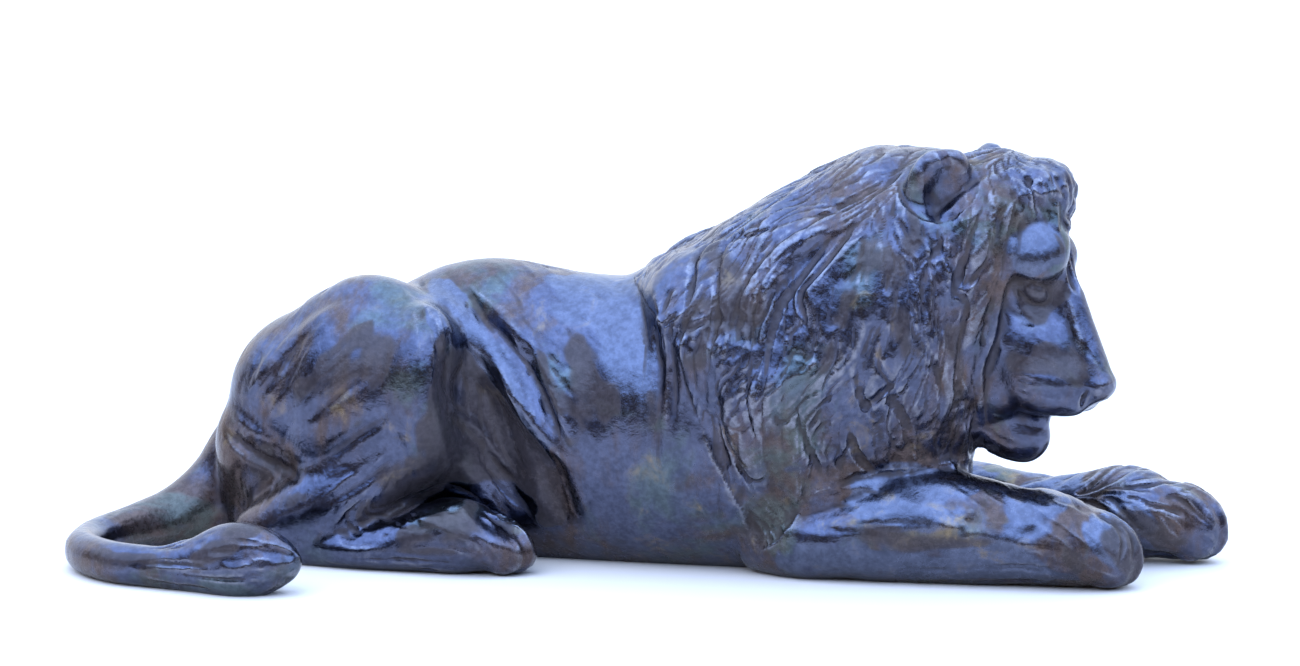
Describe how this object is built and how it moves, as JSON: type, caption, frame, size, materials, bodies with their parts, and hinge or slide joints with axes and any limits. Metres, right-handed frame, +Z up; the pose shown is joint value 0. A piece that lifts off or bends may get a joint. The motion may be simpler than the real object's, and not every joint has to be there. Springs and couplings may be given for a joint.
{
  "type": "bronze lion sculpture",
  "caption": "Life-size bronze of a lion lying down with its forelegs stretched out, head bowed and turned a little, full mane, and tail curled round on the ground beside it.",
  "frame": {"origin": "on the flat underside, below the middle of the belly", "axes": "+X towards the forepaws, +Z up, so the lion's right flank faces -Y"},
  "size_m": [1.9847, 0.8187, 0.7473],
  "materials": {
    "bronze": "cast bronze with a dark brown patina, glossy, clouded with ochre and grey-green"
  },
  "bodies": {
    "root": {"lion": "bronze"}
  },
  "joints": []
}
